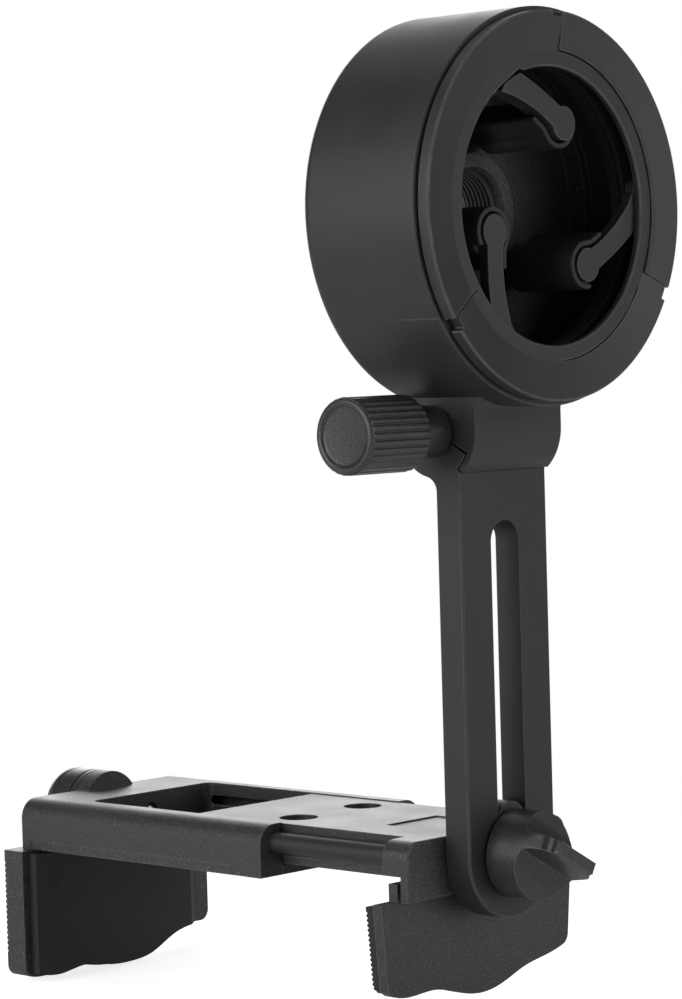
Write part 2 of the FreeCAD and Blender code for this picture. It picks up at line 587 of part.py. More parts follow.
def fixed_body():
    block = rounded_bar(BLOCK_HALF, BODY_FRONT, BLOCK_BACK, BODY_BOTTOM_Z, TOP_Z, 3.2)
    flange = box(-BLOCK_HALF, BLOCK_HALF, BODY_FRONT, FLANGE_BACK, BLOCK_BOTTOM_Z, BODY_BOTTOM_Z + 0.5)
    body = block.fuse(flange).removeSplitter()
    body = softened(body, 0.5, lambda e: along(e, V(0, 0, 1)) and e.BoundBox.YMax < at(BODY_FRONT) + 0.01)
    channel = box(-BODY_HALF, BODY_HALF, BLOCK_BACK - 0.5, BODY_BACK, BODY_BOTTOM_Z, TOP_Z)
    channel = channel.cut(box(-BODY_HALF + BODY_WALL, BODY_HALF - BODY_WALL, BLOCK_BACK + 3,
                              BODY_BACK - 2.5, BODY_BOTTOM_Z - 1, TOP_Z - BODY_WALL))
    body = body.fuse(channel)
    for side in (-1, 1):
        body = body.cut(cyl_y(RAIL_R, ROD_FROM, BLOCK_BACK + 1, side * RAIL_X, RAIL_Z))
        body = body.cut(cyl_z(HOLE_R, TOP_Z - 5, TOP_Z + 1, side * HOLE_SPACING / 2, HOLE_Y))
    body = body.cut(box(-7.5, 7.5, BLOCK_BACK + 1.5, 40.5, TOP_Z - 0.3, TOP_Z + 1))
    body = body.cut(cyl_y(STUD_R + RUN, 10, STUD_END + GAP, 0, BOLT_Z))
    for x, depth in fixed_cover_screws():
        body = body.fuse(cyl_z(2.4, BODY_BOTTOM_Z, TOP_Z - 0.5, x, depth))
        body = body.cut(cyl_z(0.9, BODY_BOTTOM_Z - 1, TOP_Z - 3, x, depth))
    return body.removeSplitter()


def guide_rod(side):
    return cyl_y(RAIL_R, ROD_FROM, BODY_BACK - 1.0, side * RAIL_X, RAIL_Z)


def fixed_cover_screws():
    return [(0.0, 36.0), (0.0, 76.0)]


def fixed_cover():
    low = BODY_BOTTOM_Z - COVER_T + 0.4
    plate = box(-BODY_HALF, BODY_HALF, 24.6, BODY_BACK, low, BODY_BOTTOM_Z)
    for x, depth in fixed_cover_screws():
        plate = plate.cut(cyl_z(1.15, low - 1, BODY_BOTTOM_Z + 1, x, depth))
        plate = plate.cut(cyl_z(2.0, low - 1, low + 0.7, x, depth))
    return plate


def fixed_cover_screw_set():
    low = BODY_BOTTOM_Z - COVER_T + 0.4
    screws = []
    for x, depth in fixed_cover_screws():
        screw = cyl_z(1.75, low + 0.05, low + 0.7, x, depth)
        screw = screw.fuse(cyl_z(0.9, low + 0.6, BODY_BOTTOM_Z + 3.0, x, depth))
        screws.append(screw)
    return Part.makeCompound(screws)


def wave(points, top_z, top_half, start, end):
    """Jaw plate: straight top and leaning sides over a curved lower edge."""
    curve = Part.BSplineCurve()
    curve.interpolate([V(x, at(start), z) for x, z in points])
    first, last = points[0], points[-1]
    corners = [V(last[0], at(start), last[1]), V(top_half, at(start), top_z),
               V(-top_half, at(start), top_z), V(first[0], at(start), first[1])]
    edges = [Part.makeLine(a, b) for a, b in zip(corners[:-1], corners[1:])]
    return face_of([curve.toShape()] + edges, V(0, end - start, 0))


def lower_edge(heights, half, inset=0.0, lift=0.0):
    """Lower edge of a jaw: one height per equal step from the left end to the right."""
    step = 2 * (half - inset) / (len(heights) - 1)
    return [(inset - half + step * index, z + lift) for index, z in enumerate(heights)]


def fixed_jaw():
    front, back = FIXED_JAW_AT[0], FIXED_JAW_AT[1]
    lower = FIXED_JAW_HALF - 0.8
    jaw = wave(lower_edge(FIXED_EDGE, lower), BLOCK_BOTTOM_Z, FIXED_JAW_HALF + 0.6, front, back)
    jaw = softened(jaw, JAW_CORNER, lambda e: along(e, V(0, 1, 0)) and e.BoundBox.ZMax < FIXED_EDGE[-1] + 1)
    root = box(-BLOCK_HALF, BLOCK_HALF, front, back, BLOCK_BOTTOM_Z, BODY_BOTTOM_Z - COVER_T + 0.4)
    return jaw.fuse(root).removeSplitter()


def fixed_jaw_pad():
    start, end = FIXED_JAW_AT[1], FIXED_JAW_AT[2]
    lower = FIXED_JAW_HALF - 0.8
    pad = wave(lower_edge(FIXED_EDGE, lower, 0.3, 0.3), BLOCK_BOTTOM_Z - 0.6, FIXED_JAW_HALF + 0.3,
               start, end)
    pad = softened(pad, JAW_CORNER, lambda e: along(e, V(0, 1, 0)) and e.BoundBox.ZMax < FIXED_EDGE[-1] + 1)
    return ribbed(pad, end, 1, BLOCK_BOTTOM_Z - 0.6)


def ribbed(pad, depth, side, top):
    """Rows of shallow teeth across a pad's face, so it grips."""
    teeth = []
    for row in range(18):
        z = top - 0.9 - 0.95 * row
        ridge = profile_yz([(depth, z), (depth, z - 0.6), (depth - side * 0.4, z - 0.3)], -40, 40)
        teeth.append(ridge)
    return pad.cut(Part.makeCompound(teeth)).removeSplitter()


# Sliding half of the clamp
def slide_frame():
    outer = rounded_bar(BLOCK_HALF, FRAME_FRONT, FRAME_BACK, FRAME_BOTTOM_Z, FRAME_TOP_Z, 4.0)
    inner_half = BODY_HALF + GAP
    window = box(-inner_half, inner_half, FRAME_FRONT - 1, WINDOW_BACK, FRAME_BOTTOM_Z - 1,
                 FRAME_TOP_Z + 1)
    window = softened(window, 2.0, lambda e: along(e, V(0, 0, 1)) and e.BoundBox.YMax > at(WINDOW_BACK) - 0.01)
    outer = outer.cut(window)
    for side in (-1, 1):
        outer = outer.cut(cyl_y(RAIL_R + SLIDE, FRAME_FRONT - 1, WINDOW_BACK + 1, side * RAIL_X, RAIL_Z))
    wall = box(-BLOCK_HALF, BLOCK_HALF, BACK_WALL_AT, FRAME_BACK, FRAME_BOTTOM_Z - COVER_T,
               FRAME_BOTTOM_Z + 1)
    boss = cyl_y(LOCK_R, BACK_WALL_AT, FRAME_BACK + 1.2, 0, BOLT_Z)
    outer = outer.fuse(wall).fuse(boss)
    for side in (-1, 1):
        outer = outer.fuse(rail_end(side, BODY_HALF + GAP, BLOCK_HALF))
    chamber = box(-14, 14, WINDOW_BACK + 2.4, 126.0, FRAME_BOTTOM_Z - 1, FRAME_TOP_Z - 2.2)
    outer = outer.cut(chamber)
    outer = outer.cut(cyl_y(LOCK_SCREW_R + RUN, 112, 134, 0, BOLT_Z))
    for x, depth in frame_screws():
        outer = outer.cut(cyl_z(0.9, FRAME_BOTTOM_Z - 1, FRAME_BOTTOM_Z + 2.6, x, depth))
    return outer.removeSplitter()


def rail_end(side, inner, outer):
    """Full-height block at the front end of one rail."""
    x0, x1 = sorted((side * inner, side * outer))
    return box(x0, x1, FRAME_FRONT, FRAME_FRONT + RAIL_END_T, FRAME_BOTTOM_Z - COVER_T, FRAME_BOTTOM_Z + 0.5)


def frame_screws():
    return [(-21.3, 66.0), (21.3, 66.0), (-21.3, 124.0), (21.3, 124.0)]


def slide_cover():
    low = FRAME_BOTTOM_Z - COVER_T
    plate = box(-BLOCK_HALF + 0.15, BLOCK_HALF - 0.15, FRAME_FRONT, BACK_WALL_AT, low, FRAME_BOTTOM_Z)
    for x, depth in frame_screws():
        plate = plate.cut(cyl_z(1.15, low - 1, FRAME_BOTTOM_Z + 1, x, depth))
        plate = plate.cut(cyl_z(1.9, low - 1, low + 0.8, x, depth))
    for side in (-1, 1):
        plate = plate.cut(rail_end(side, BODY_HALF + GAP - 0.02, BLOCK_HALF + 1))
    return plate


def slide_cover_screw_set():
    low = FRAME_BOTTOM_Z - COVER_T
    screws = []
    for x, depth in frame_screws():
        screw = cyl_z(1.65, low + 0.05, low + 0.8, x, depth)
        screw = screw.fuse(cyl_z(0.9, low + 0.7, FRAME_BOTTOM_Z + 2.2, x, depth))
        screws.append(screw)
    return Part.makeCompound(screws)


def moving_jaw():
    top = FRAME_BOTTOM_Z - COVER_T
    start, end = MOVING_JAW_AT[1], MOVING_JAW_AT[2]
    jaw = wave(lower_edge(MOVING_EDGE, MOVING_JAW_HALF), top, MOVING_JAW_HALF, start, end)
    jaw = softened(jaw, JAW_CORNER, lambda e: along(e, V(0, 1, 0)) and e.BoundBox.ZMax < MOVING_EDGE[-1] + 1)
    jaw = jaw.cut(cyl_y(LOCK_R + GAP, start - 1, end + 1, 0, BOLT_Z))
    teeth = []
    for row in range(18):
        z = top - 2.5 - 1.1 * row
        teeth.append(profile_yz([(end, z), (end, z - 0.5), (end - 0.35, z - 0.25)], -40, 40))
    return jaw.cut(Part.makeCompound(teeth)).removeSplitter()


def moving_jaw_pad():
    """Cushion with bevelled ends on the phone side of the rear jaw."""
    front, back = MOVING_JAW_AT[0], MOVING_JAW_AT[1]
    top = FRAME_BOTTOM_Z - COVER_T - 0.6
    pad = wave(lower_edge(MOVING_EDGE, MOVING_JAW_HALF, 1.0, 0.5), top, MOVING_JAW_HALF - 1, front, back)
    for end, length, depth in MOVING_PAD_ENDS:
        side = math.copysign(1.0, end)
        inner = end - side * length
        outside = [(inner, front - 1), (inner, front), (end, front + depth), (end, back + 1),
                   (end + side * 9, back + 1), (end + side * 9, front - 1)]
        corners = [V(x, at(d), -165) for x, d in outside + outside[:1]]
        pad = pad.cut(Part.Face(Part.makePolygon(corners)).extrude(V(0, 0, 45)))
    return pad.removeSplitter()


def lock_knob():
    """Round knob with two fine grooves and a rounded far edge."""
    start, end = FRAME_BACK + 1.2 + GAP, LOCK_END
    low = LOCK_R - LOCK_GROOVE
    knob = revolved([
        (LOCK_SCREW_R, start), (LOCK_R, start), (LOCK_R, start + 1.3), (low, start + 1.3),
        (low, start + 1.9), (LOCK_R, start + 1.9), (LOCK_R, end - 3.2), (low, end - 3.2),
        (low, end - 2.8), (LOCK_R, end - 2.8), (LOCK_R, end - 1.8), (LOCK_R - 0.55, end - 0.55),
        (LOCK_R - 1.8, end), (LOCK_SCREW_R, end),
    ])
    knob.translate(V(0, 0, BOLT_Z))
    return knob.fuse(cyl_y(LOCK_SCREW_R, end - LOCK_CAP_T, end, 0, BOLT_Z)).removeSplitter()


def lock_screw():
    """Screw from the rear knob; its cone tip shows at the back of the window."""
    shaft = cyl_y(LOCK_SCREW_R, 116.4, LOCK_END - LOCK_CAP_T, 0, BOLT_Z)
    tip = Part.makeCone(0.4, LOCK_SCREW_R, 2.4, V(0, at(114.0), BOLT_Z), V(0, 1, 0))
    return shaft.fuse(tip).removeSplitter()


def build():
    save(ring_housing(), "ring_housing")
    save(front_ring(), "front_ring")
    save(face_insert(), "face_insert")
    save(carrier_plate(), "carrier_plate")
    save(cam_plate(), "cam_plate")
    for index, name in enumerate(("top", "right", "lower")):
        save(jaw_arm(index), "grip_arm_" + name)
        save(jaw_pad(index), "grip_pad_" + name)
    save(slotted_arm(), "slotted_arm")
    save(tilt_knob(), "tilt_knob")
    save(tilt_screw(), "tilt_screw")
    save(tilt_nut(), "tilt_nut")
    save(slot_slider(), "slot_slider")
    save(wing_knob(), "wing_knob")
    save(wing_stud(), "wing_stud")
    save(fixed_body(), "fixed_body")
    save(guide_rod(-1), "guide_rod_left")
    save(guide_rod(1), "guide_rod_right")
    save(fixed_cover(), "fixed_cover")
    save(fixed_cover_screw_set(), "fixed_cover_screws")
    save(fixed_jaw(), "fixed_jaw")
    save(fixed_jaw_pad(), "fixed_jaw_pad")
    save(slide_frame(), "slide_frame")
    save(slide_cover(), "slide_cover")
    save(slide_cover_screw_set(), "slide_cover_screws")
    save(moving_jaw(), "moving_jaw")
    save(moving_jaw_pad(), "moving_jaw_pad")
    save(lock_knob(), "lock_knob")
    save(lock_screw(), "lock_screw")


build()
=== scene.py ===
import math

import bpy
import numpy as np
from mathutils import Matrix, Vector


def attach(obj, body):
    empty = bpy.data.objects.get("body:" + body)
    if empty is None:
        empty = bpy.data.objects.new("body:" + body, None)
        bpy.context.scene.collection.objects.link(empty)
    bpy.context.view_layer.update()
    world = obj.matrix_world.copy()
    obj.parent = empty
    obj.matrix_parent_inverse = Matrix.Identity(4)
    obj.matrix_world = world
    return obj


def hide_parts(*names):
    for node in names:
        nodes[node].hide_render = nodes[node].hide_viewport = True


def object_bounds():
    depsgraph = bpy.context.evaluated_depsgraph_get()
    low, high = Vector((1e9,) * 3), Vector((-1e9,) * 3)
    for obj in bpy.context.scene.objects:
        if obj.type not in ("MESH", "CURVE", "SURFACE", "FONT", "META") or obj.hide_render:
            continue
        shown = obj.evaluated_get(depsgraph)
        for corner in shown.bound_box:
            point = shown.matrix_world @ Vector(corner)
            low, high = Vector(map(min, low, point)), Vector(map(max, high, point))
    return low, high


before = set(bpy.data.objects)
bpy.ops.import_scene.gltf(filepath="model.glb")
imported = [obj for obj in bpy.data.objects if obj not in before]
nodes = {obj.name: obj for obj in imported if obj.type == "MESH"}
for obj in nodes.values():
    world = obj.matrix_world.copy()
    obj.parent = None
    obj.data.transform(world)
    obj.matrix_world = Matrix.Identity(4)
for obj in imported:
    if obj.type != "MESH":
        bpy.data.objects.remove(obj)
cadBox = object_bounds()
print("frame loaded:", len(nodes), "nodes")

mm = 0.001
faceAt = -30.0          # the ring's face, behind which depths are counted


def place(x, depth, z):
    return np.array([x, faceAt + depth, z]) * mm


def turnedRound(points, degrees, z=0.0):
    # Rows of (x, depth, z) turned about a line along y, which then stands at the height z.
    turn = math.radians(degrees)
    across = points[:, 0] * math.cos(turn) - points[:, 2] * math.sin(turn)
    up = points[:, 0] * math.sin(turn) + points[:, 2] * math.cos(turn)
    return np.stack([across, faceAt + points[:, 1], z + up], axis=1) * mm


# Meshes

def meshFrom(name, verts, faces, sharp=35.0):
    # A mesh object at the origin; faces are turned outwards by the sign of the enclosed volume.
    verts = np.asarray(verts, dtype=float)
    mesh = bpy.data.meshes.new(name)
    mesh.from_pydata(verts.tolist(), [], faces)
    mesh.validate()
    mesh.calc_loop_triangles()
    count = len(mesh.loop_triangles)
    corner = np.zeros(count * 3, dtype=np.int32)
    mesh.loop_triangles.foreach_get("vertices", corner)
    tri = verts[corner.reshape(-1, 3)]
    if np.einsum("ij,ij->i", tri[:, 0], np.cross(tri[:, 1], tri[:, 2])).sum() < 0:
        mesh.flip_normals()
    mesh.shade_smooth()
    mesh.set_sharp_from_angle(angle=math.radians(sharp))
    piece = bpy.data.objects.new(name, mesh)
    bpy.context.collection.objects.link(piece)
    return piece


def gridFaces(rows, columns, wrapColumns=True):
    # Quads of a rows by columns grid of points, whose last column joins the first one if it wraps.
    i = np.arange(rows - 1)[:, None] * columns
    j = np.arange(columns if wrapColumns else columns - 1)[None, :]
    right = (j + 1) % columns
    quads = np.stack([i + j, i + right, i + columns + right, i + columns + j], axis=-1)
    return quads.reshape(-1, 4).tolist()


def latheFaces(rows, columns):
    # Quads of the rings between two poles, which are the last two points.
    faces = gridFaces(rows, columns)
    first, last = rows * columns, rows * columns + 1
    for j in range(columns):
        after = (j + 1) % columns
        faces.append((first, after, j))
        faces.append((last, (rows - 1) * columns + j, (rows - 1) * columns + after))
    return faces


def squareTo(axis):
    # The axis, and two directions square to it and to each other.
    axis = np.asarray(axis, dtype=float)
    side = np.cross(axis, [0.0, 0.0, 1.0])
    side /= np.linalg.norm(side)
    return axis, side, np.cross(axis, side)


def lathe(name, centre, axis, along, radius):
    # Point (i, j) stands at along[i] on the axis and radius[i, j] away from it, at the angle of column j.
    axis, side, other = squareTo(axis)
    rows, columns = radius.shape
    angle = np.arange(columns) * 2 * np.pi / columns
    ring = np.cos(angle)[None, :, None] * side + np.sin(angle)[None, :, None] * other
    points = centre + (along[:, None, None] * axis + radius[:, :, None] * ring) * mm
    poles = [centre + axis * along[0] * mm, centre + axis * along[-1] * mm]
    verts = np.vstack([points.reshape(-1, 3), poles])
    return meshFrom(name, verts, latheFaces(rows, columns))


def rounded(corners, radius, steps=5):
    # Profile whose corners are rounded: each corner becomes a quadratic arc between points near it,
    # which stand at most a little under half way to the next corner.
    most = 0.48
    corners = np.asarray(corners, dtype=float)
    line = [corners[0]]
    for before, corner, after in zip(corners[:-2], corners[1:-1], corners[2:]):
        back, ahead = before - corner, after - corner
        reach = min(radius, np.linalg.norm(back) * most, np.linalg.norm(ahead) * most)
        start = corner + back / np.linalg.norm(back) * reach
        end = corner + ahead / np.linalg.norm(ahead) * reach
        t = np.linspace(0, 1, steps)[:, None]
        line.extend((1 - t) ** 2 * start + 2 * t * (1 - t) * corner + t ** 2 * end)
    line.append(corners[-1])
    return np.array(line)


def helixThread(name, centre, axis, look):
    # Ridge of blunt triangular section carried along a helix in a bore, sinking into the wall at both ends.
    axis, side, other = squareTo(axis)
    pitch = look["pitch"]
    turns = look["length"] / pitch - 1
    count = int(turns * look["perTurn"]) + 1
    t = np.linspace(0, turns, count)
    rise = np.clip(np.minimum(t, turns - t) / look["fadeTurns"], 0, 1)
    angle = t * 2 * np.pi
    ring = np.cos(angle)[:, None] * side + np.sin(angle)[:, None] * other
    root, crest = pitch * look["rootHalf"], pitch * look["crestHalf"]
    offsets = np.array([-root, -crest, crest, root])
    level = np.array([0.0, 1.0, 1.0, 0.0])
    wall = look["boreR"] + look["sunk"]
    radius = wall + (look["crestR"] - wall) * level[None, :] * rise[:, None]
    depth = root + t[:, None] * pitch + offsets[None, :]
    points = centre + (depth[:, :, None] * axis + radius[:, :, None] * ring[:, None, :]) * mm
    faces = gridFaces(count, 4)
    last = (count - 1) * 4
    faces += [(3, 2, 1, 0), (last, last + 1, last + 2, last + 3)]
    return meshFrom(name, points.reshape(-1, 3), faces, sharp=25)


# Shader groups

def setInputs(tree, node, inputs):
    # Each input, by label or by number, is given a value or linked to another node's output.
    for label, value in inputs.items():
        if isinstance(value, bpy.types.NodeSocket):
            tree.links.new(value, node.inputs[label])
        else:
            node.inputs[label].default_value = value


def addNode(tree, kind, inputs=None, **settings):
    # The settings come first, because they decide which of the inputs are there.
    node = tree.nodes.new("ShaderNode" + kind)
    for label, value in settings.items():
        setattr(node, label, value)
    setInputs(tree, node, inputs or {})
    return node


def mathNode(tree, operation, *values, clamp=False):
    node = addNode(tree, "Math", dict(enumerate(values)), operation=operation, use_clamp=clamp)
    return node.outputs[0]


def mixColour(tree, factor, first, second):
    # Colour between two, each one an (r, g, b) or another node's output.
    first, second = ((*colour, 1) if isinstance(colour, tuple) else colour for colour in (first, second))
    node = addNode(tree, "Mix", {"Factor": factor, "A": first, "B": second}, data_type="RGBA")
    return node.outputs["Result"]


def newGroup(name, inputs, outputs):
    group = bpy.data.node_groups.new(name, "ShaderNodeTree")
    for label, kind, value in inputs:
        socket = group.interface.new_socket(label, in_out="INPUT", socket_type=kind)
        socket.default_value = value
    for label, kind in outputs:
        group.interface.new_socket(label, in_out="OUTPUT", socket_type=kind)
    source = group.nodes.new("NodeGroupInput")
    target = group.nodes.new("NodeGroupOutput")
    return group, source, target


grainLook = {"pits": 2600.0, "pitDetail": 2.0, "pitRoughness": 0.6, "pitShare": 0.7,
             "cells": 3400.0, "cellShare": 0.35, "patches": 55.0, "patchDetail": 3.0,
             "crestFrom": 0.78, "crestReach": 0.2, "crestGain": 9.0}


def mouldGrain(look):
    # Moulded skin: fine pits in the height, a mask of the pits' crests, which take a painted glint, and one
    # of broad patches.
    group, source, target = newGroup(
        "MouldGrain",
        [("Scale", "NodeSocketFloat", 1.0), ("Crests", "NodeSocketFloat", 0.5)],
        [("Height", "NodeSocketFloat"), ("Crest", "NodeSocketFloat"), ("Patch", "NodeSocketFloat")])
    where = addNode(group, "TexCoord").outputs["Object"]
    scaled = addNode(group, "VectorMath", {0: where, "Scale": source.outputs["Scale"]}, operation="SCALE")
    at = scaled.outputs[0]
    pits = addNode(group, "TexNoise", {"Scale": look["pits"], "Detail": look["pitDetail"],
                                       "Roughness": look["pitRoughness"], "Vector": at}).outputs["Fac"]
    cells = addNode(group, "TexVoronoi", {"Scale": look["cells"], "Vector": at}).outputs["Distance"]
    patch = addNode(group, "TexNoise", {"Scale": look["patches"], "Detail": look["patchDetail"],
                                        "Vector": at}).outputs["Fac"]
    height = mathNode(group, "ADD", mathNode(group, "MULTIPLY", pits, look["pitShare"]),
                      mathNode(group, "MULTIPLY", cells, look["cellShare"]))
    reach = mathNode(group, "MULTIPLY", source.outputs["Crests"], look["crestReach"])
    threshold = mathNode(group, "SUBTRACT", look["crestFrom"], reach)
    above = mathNode(group, "SUBTRACT", pits, threshold)
    crest = mathNode(group, "MULTIPLY", above, look["crestGain"], clamp=True)
    setInputs(group, target, {"Height": height, "Crest": crest, "Patch": patch})
    return group


highlightLook = {"samples": 4, "bendGain": 10.0, "noise": 320.0, "noiseDetail": 4.0}


def edgeHighlight(look):
    # Mask of painted highlights on the corners, where a rounded normal leaves the flat one, broken up by
    # noise.
    group, source, target = newGroup(
        "EdgeHighlight",
        [("Width", "NodeSocketFloat", 0.0004), ("Amount", "NodeSocketFloat", 0.5)],
        [("Mask", "NodeSocketFloat"), ("Normal", "NodeSocketVector")])
    bevel = addNode(group, "Bevel", {"Radius": source.outputs["Width"]}, samples=look["samples"])
    bevelled = bevel.outputs["Normal"]
    flat = addNode(group, "NewGeometry").outputs["Normal"]
    likeness = addNode(group, "VectorMath", {0: bevelled, 1: flat}, operation="DOT_PRODUCT")
    away = mathNode(group, "SUBTRACT", 1.0, likeness.outputs["Value"])
    bend = mathNode(group, "MULTIPLY", away, look["bendGain"], clamp=True)
    noise = addNode(group, "TexNoise", {"Scale": look["noise"], "Detail": look["noiseDetail"],
                                        "Vector": addNode(group, "TexCoord").outputs["Object"]})
    broken = mathNode(group, "MULTIPLY", bend, noise.outputs["Fac"])
    mask = mathNode(group, "MULTIPLY", broken, source.outputs["Amount"], clamp=True)
    setInputs(group, target, {"Mask": mask, "Normal": bevelled})
    return group


# The bore's flecks: the grain is the moulding's, their light colour a painted glint.
mottleLook = {"radius": 0.033, "front": -0.013, "flecks": 1500.0, "fleckDetail": 4.0, "fleckFrom": 0.46,
              "fleckGain": 6.0, "broad": 160.0, "broadShare": 0.9, "least": 0.1,
              "colour": (0.10, 0.10, 0.096)}


def boreMottle(look):
    # Mask of the wall inside the drum: flecks of its moulded grain, lightened as a painted glint, only near
    # the axis and far back.
    group, _, target = newGroup("BoreMottle", [], [("Mask", "NodeSocketFloat")])
    where = addNode(group, "TexCoord").outputs["Object"]
    parts = addNode(group, "SeparateXYZ", {0: where}).outputs
    away = mathNode(group, "SQRT", mathNode(group, "ADD", mathNode(group, "POWER", parts["X"], 2.0),
                                            mathNode(group, "POWER", parts["Z"], 2.0)))
    within = mathNode(group, "MULTIPLY", mathNode(group, "LESS_THAN", away, look["radius"]),
                      mathNode(group, "GREATER_THAN", parts["Y"], look["front"]))
    fine = addNode(group, "TexNoise", {"Scale": look["flecks"], "Detail": look["fleckDetail"],
                                       "Vector": where})
    broad = addNode(group, "TexNoise", {"Scale": look["broad"], "Vector": where})
    above = mathNode(group, "SUBTRACT", fine.outputs["Fac"], look["fleckFrom"])
    flecks = mathNode(group, "MULTIPLY", above, look["fleckGain"], clamp=True)
    shade = mathNode(group, "MULTIPLY", broad.outputs["Fac"], look["broadShare"])
    shade = mathNode(group, "ADD", shade, look["least"])
    mask = mathNode(group, "MULTIPLY", within, mathNode(group, "MULTIPLY", flecks, shade), clamp=True)
    setInputs(group, target, {"Mask": mask})
    return group


grainGroup = mouldGrain(grainLook)
edgeGroup = edgeHighlight(highlightLook)
mottleGroup = boreMottle(mottleLook)


# Materials

def newMaterial(name):
    material = bpy.data.materials.new(name)
    material.use_nodes = True
    tree = material.node_tree
    return material, tree, tree.nodes["Principled BSDF"]


sheen = {"patchLow": 0.3, "patchHigh": 0.7, "swing": 0.04}


def mouldedPlastic(name, look):
    # Dark moulded plastic: base colour varied by patches, by painted glints on the grain's crests, by
    # painted highlights on the corners and by the bore's flecks, whose brightness is a painted glint;
    # roughness by the patches, and grain in the bump.
    material, tree, shader = newMaterial(name)
    grain = addNode(tree, "Group", {"Scale": look["grainScale"], "Crests": look["crests"]},
                    node_tree=grainGroup).outputs
    edgeShine = addNode(tree, "Group", {"Width": look["edgeWidth"], "Amount": look["edgeHighlight"]},
                  node_tree=edgeGroup).outputs
    mottle = addNode(tree, "Group", node_tree=mottleGroup).outputs
    crests = mathNode(tree, "MULTIPLY", grain["Crest"], look["crestGlintMix"])
    flecks = mathNode(tree, "MULTIPLY", mottle["Mask"], look.get("mottle", 0.0))
    colour = mixColour(tree, grain["Patch"], look["dark"], look["light"])
    # Painted glint: a lighter colour on the crests of the grain.
    colour = mixColour(tree, crests, colour, look["crestGlintColour"])
    # Painted highlight: a lighter colour along the corners, where their rounding catches the light.
    colour = mixColour(tree, edgeShine["Mask"], colour, look["edgeHighlightColour"])
    # The bore's flecks follow the moulding's grain; their brightness is a painted glint.
    colour = mixColour(tree, flecks, colour, mottleLook["colour"])
    rough = addNode(tree, "MapRange", {
        "Value": grain["Patch"], "From Min": sheen["patchLow"], "From Max": sheen["patchHigh"],
        "To Min": look["roughness"] - sheen["swing"], "To Max": look["roughness"] + sheen["swing"]})
    bump = addNode(tree, "Bump", {"Strength": look["bump"], "Distance": look["bumpDepth"] * mm,
                                  "Height": grain["Height"], "Normal": edgeShine["Normal"]})
    setInputs(tree, shader, {"Base Color": colour, "Roughness": rough.outputs["Result"],
                             "Normal": bump.outputs["Normal"], "Specular IOR Level": look["specular"]})
    return material


drumSatin = mouldedPlastic("drumSatin", {
    "dark": (0.021, 0.021, 0.0205), "light": (0.027, 0.027, 0.026), "roughness": 0.42, "specular": 0.45,
    "grainScale": 1.6, "crests": 0.4, "crestGlintMix": 0.25, "crestGlintColour": (0.09, 0.09, 0.088),
    "bump": 0.16, "bumpDepth": 0.03,
    "edgeWidth": 0.42 * mm, "edgeHighlight": 1.6, "edgeHighlightColour": (0.17, 0.17, 0.166)})
shellSatin = mouldedPlastic("shellSatin", {
    "dark": (0.020, 0.020, 0.0195), "light": (0.026, 0.026, 0.025), "roughness": 0.43, "specular": 0.45,
    "grainScale": 1.6, "crests": 0.4, "crestGlintMix": 0.25, "crestGlintColour": (0.09, 0.09, 0.088),
    "bump": 0.16, "bumpDepth": 0.03, "mottle": 0.6,
    "edgeWidth": 0.30 * mm, "edgeHighlight": 0.9, "edgeHighlightColour": (0.13, 0.13, 0.127)})
# The plates deep in the drum: the satin plastic darkened as painted shade, with its glints and corner
# highlights dimmed.
innerShadedSatin = mouldedPlastic("innerShadedSatin", {
    "dark": (0.011, 0.011, 0.0105), "light": (0.014, 0.014, 0.0137), "roughness": 0.5, "specular": 0.35,
    "grainScale": 1.6, "crests": 0.2, "crestGlintMix": 0.1, "crestGlintColour": (0.04, 0.04, 0.039),
    "bump": 0.16, "bumpDepth": 0.03,
    "edgeWidth": 0.15 * mm, "edgeHighlight": 0.2, "edgeHighlightColour": (0.04, 0.04, 0.039)})
armSatin = mouldedPlastic("armSatin", {
    "dark": (0.020, 0.020, 0.0195), "light": (0.025, 0.025, 0.024), "roughness": 0.46, "specular": 0.42,
    "grainScale": 1.6, "crests": 0.3, "crestGlintMix": 0.20, "crestGlintColour": (0.07, 0.07, 0.068),
    "bump": 0.18, "bumpDepth": 0.03,
    "edgeWidth": 0.40 * mm, "edgeHighlight": 1.5, "edgeHighlightColour": (0.15, 0.15, 0.146)})
sparkTexture = mouldedPlastic("sparkTexture", {
    "dark": (0.022, 0.022, 0.0215), "light": (0.032, 0.032, 0.031), "roughness": 0.40, "specular": 0.5,
    "grainScale": 1.25, "crests": 1.1, "crestGlintMix": 0.60, "crestGlintColour": (0.16, 0.16, 0.156),
    "bump": 1.0, "bumpDepth": 0.08,
    "edgeWidth": 0.34 * mm, "edgeHighlight": 1.3, "edgeHighlightColour": (0.18, 0.18, 0.175)})
knobGloss = mouldedPlastic("knobGloss", {
    "dark": (0.023, 0.023, 0.0225), "light": (0.031, 0.031, 0.030), "roughness": 0.32, "specular": 0.5,
    "grainScale": 1.1, "crests": 0.9, "crestGlintMix": 0.5, "crestGlintColour": (0.15, 0.15, 0.146),
    "bump": 0.8, "bumpDepth": 0.07,
    "edgeWidth": 0.34 * mm, "edgeHighlight": 1.5, "edgeHighlightColour": (0.16, 0.16, 0.156)})
padRubber = mouldedPlastic("padRubber", {
    "dark": (0.014, 0.014, 0.0135), "light": (0.019, 0.019, 0.0185), "roughness": 0.55, "specular": 0.4,
    "grainScale": 1.2, "crests": 0.3, "crestGlintMix": 0.15, "crestGlintColour": (0.05, 0.05, 0.049),
    "bump": 0.25, "bumpDepth": 0.04,
    "edgeWidth": 0.20 * mm, "edgeHighlight": 0.3, "edgeHighlightColour": (0.06, 0.06, 0.058)})


